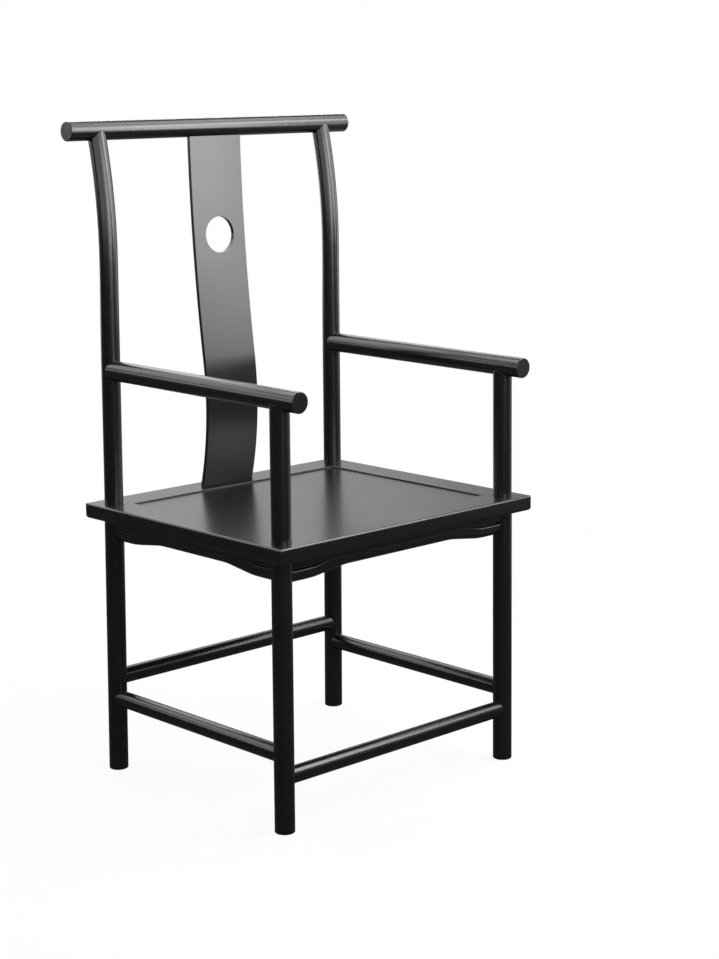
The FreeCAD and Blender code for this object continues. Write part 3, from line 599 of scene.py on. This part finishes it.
def makeBackground():
    # white to the eye; gloss mirrors a white wall behind the chair and a dim room in front of it
    world = bpy.data.worlds.new("studio")
    world.use_nodes = True
    tree = world.node_tree
    tree.nodes.clear()
    place = addNode(tree, "ShaderNodeTexCoord").outputs["Generated"]
    toCamera, mirrored = rayKinds(tree)
    aside = vectorMath(tree, "DOT_PRODUCT", place, studio["behind"])
    wall = mapRange(tree, aside, *studio["wallRange"], *studio["wallMirrored"])
    fill, room, white = (
        addNode(tree, "ShaderNodeBackground", {"Color": pureWhite, "Strength": strength})
        for strength in (studio["skyFill"], wall, 1.0))
    around = mixShaders(tree, mirrored, fill.outputs["Background"], room.outputs["Background"])
    seen = mixShaders(tree, toCamera, around, white.outputs["Background"])
    addNode(tree, "ShaderNodeOutputWorld", {"Surface": seen})
    scene.world = world


# soft boxes that stand round the chair: bearing from +X, distance, lower and upper edge, width, and
# radiance, where 1 is a white wall
standing = {
    "key": {"bearing": 312, "far": 1.5, "low": 0.93, "top": 1.30, "wide": 0.40, "glow": 9.0},
    "keyFoot": {"bearing": 319, "far": 1.5, "low": 0.78, "top": 0.93, "wide": 0.40, "glow": 4.4},
    "keyHead": {"bearing": 308, "far": 1.5, "low": 1.30, "top": 1.70, "wide": 0.72, "glow": 7.8},
    "keyTop": {"bearing": 322, "far": 1.5, "low": 1.70, "top": 2.20, "wide": 1.05, "glow": 9.5},
    "keySide": {"bearing": 288, "far": 1.5, "low": 0.90, "top": 1.90, "wide": 0.64, "glow": 2.4},
    "keyRight": {"bearing": 331, "far": 1.9, "low": 0.95, "top": 1.75, "wide": 0.52, "glow": 3.4},
    "keyFar": {"bearing": 312, "far": 2.5, "low": 0.70, "top": 1.00, "wide": 0.52, "glow": 1.4},
    "front": {"bearing": 262, "far": 1.5, "low": 0.90, "top": 2.00, "wide": 0.70, "glow": 2.8},
    "frontFar": {"bearing": 262, "far": 2.5, "low": 0.60, "top": 1.90, "wide": 1.15, "glow": 3.6},
    "frontLeft": {"bearing": 234, "far": 1.5, "low": 0.80, "top": 2.00, "wide": 0.70, "glow": 1.8},
    "left": {"bearing": 193, "far": 1.5, "low": 0.90, "top": 2.00, "wide": 1.38, "glow": 1.5},
    "right": {"bearing": 354, "far": 2.5, "low": 0.45, "top": 2.20, "wide": 1.30, "glow": 2.4},
    "rearHigh": {"bearing": 65, "far": 3.0, "low": 1.80, "top": 2.90, "wide": 2.80, "glow": 3.1},
    "rearLeft": {"bearing": 114, "far": 3.0, "low": 1.80, "top": 2.90, "wide": 2.50, "glow": 2.5},
    "rearSide": {"bearing": 138, "far": 3.0, "low": 1.00, "top": 1.50, "wide": 1.20, "glow": 2.9},
    "rearFoot": {"bearing": 88, "far": 3.0, "low": 0.50, "top": 1.10, "wide": 2.80, "glow": 3.3},
}

# soft boxes that hang over it: middle, size and radiance
hanging = {
    "overRight": {"at": (0.9, -0.45, 2.2), "size": (0.88, 1.78), "glow": 3.7},
    "overFar": {"at": (1.8, 0.0, 2.2), "size": (0.88, 0.88), "glow": 1.5},
    "overRear": {"at": (-0.1, 1.25, 2.2), "size": (1.3, 1.6), "glow": 3.0},
}


def hangLamp(name, spot, towards, size, glow):
    data = bpy.data.lights.new(name, "AREA")
    data.shape = "RECTANGLE"
    data.size, data.size_y = size
    data.energy = math.pi * size[0] * size[1] * glow
    holder = bpy.data.objects.new(name, data)
    scene.collection.objects.link(holder)
    holder.visible_camera = False
    holder.location = spot
    holder.rotation_euler = Vector(towards).to_track_quat("-Z", "Y").to_euler()


def hangLamps():
    for name, lamp in standing.items():
        bearing = math.radians(lamp["bearing"])
        x, y = math.cos(bearing), math.sin(bearing)
        spot = (lamp["far"] * x, lamp["far"] * y, (lamp["low"] + lamp["top"]) / 2)
        hangLamp(name, spot, (-x, -y, 0.0), (lamp["wide"], lamp["top"] - lamp["low"]), lamp["glow"])
    for name, lamp in hanging.items():
        hangLamp(name, lamp["at"], (0.0, 0.0, -1.0), lamp["size"], lamp["glow"])


makeFloor()
makeBackground()
hangLamps()
print("studio: floor, background and", len(standing) + len(hanging), "lamps")
